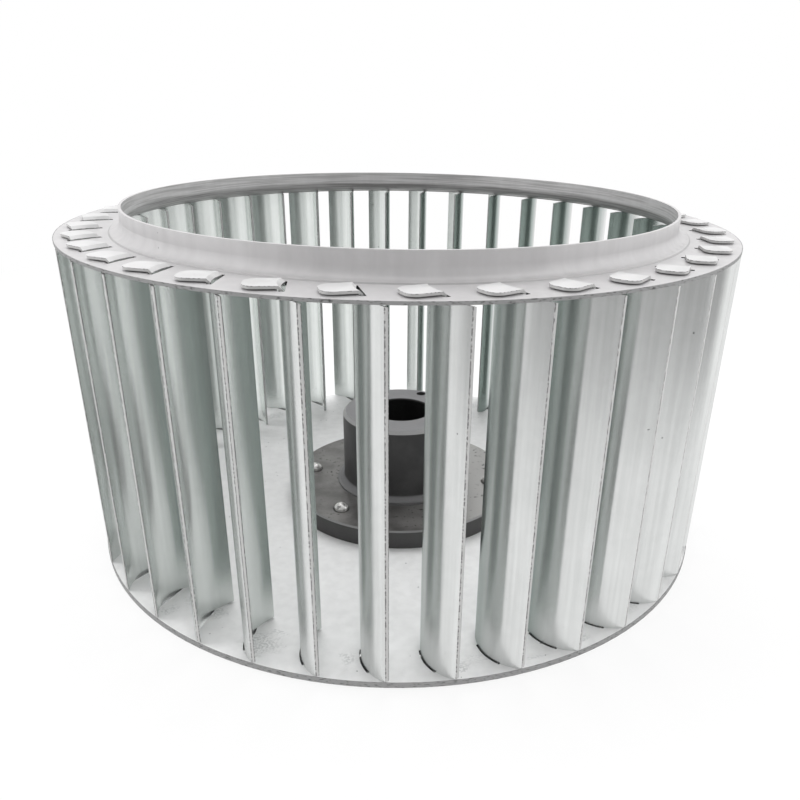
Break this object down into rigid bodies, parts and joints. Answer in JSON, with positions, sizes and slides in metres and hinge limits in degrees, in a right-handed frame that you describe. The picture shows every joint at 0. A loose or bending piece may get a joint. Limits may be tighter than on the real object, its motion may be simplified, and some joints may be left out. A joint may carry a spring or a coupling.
{
  "type": "centrifugal fan impeller",
  "caption": "Forward-curved centrifugal fan wheel: curved sheet blades between a flat back plate and an inlet ring with a raised neck, on a riveted, keyed cast hub.",
  "frame": {"origin": "on the shaft axis, level with the underside of the lower blade tabs that the wheel stands on", "axes": "+Z along the shaft axis from the back plate to the air inlet, +X from the shaft axis through the keyway and the set screw"},
  "size_m": [0.25, 0.25, 0.1309],
  "materials": {
    "sheet": "galvanised steel sheet, satin, with faint spangle",
    "casting": "dark grey cast and turned iron",
    "rivet": "bright zinc-plated steel",
    "screw": "black oxide steel"
  },
  "bodies": {
    "root": {"back_plate": "sheet", "inlet_ring": "sheet", "hub": "casting", "set_screw": "screw", "blade_01": "sheet", "blade_02": "sheet", "blade_03": "sheet", "blade_04": "sheet", "blade_05": "sheet", "blade_06": "sheet", "blade_07": "sheet", "blade_08": "sheet", "blade_09": "sheet", "blade_10": "sheet", "blade_11": "sheet", "blade_12": "sheet", "blade_13": "sheet", "blade_14": "sheet", "blade_15": "sheet", "blade_16": "sheet", "blade_17": "sheet", "blade_18": "sheet", "blade_19": "sheet", "blade_20": "sheet", "blade_21": "sheet", "blade_22": "sheet", "blade_23": "sheet", "blade_24": "sheet", "blade_25": "sheet", "blade_26": "sheet", "blade_27": "sheet", "blade_28": "sheet", "blade_29": "sheet", "blade_30": "sheet", "blade_31": "sheet", "blade_32": "sheet", "blade_33": "sheet", "blade_34": "sheet", "blade_35": "sheet", "blade_36": "sheet", "rivet_1": "rivet", "rivet_2": "rivet", "rivet_3": "rivet", "rivet_4": "rivet", "rivet_5": "rivet", "rivet_6": "rivet"}
  },
  "joints": []
}
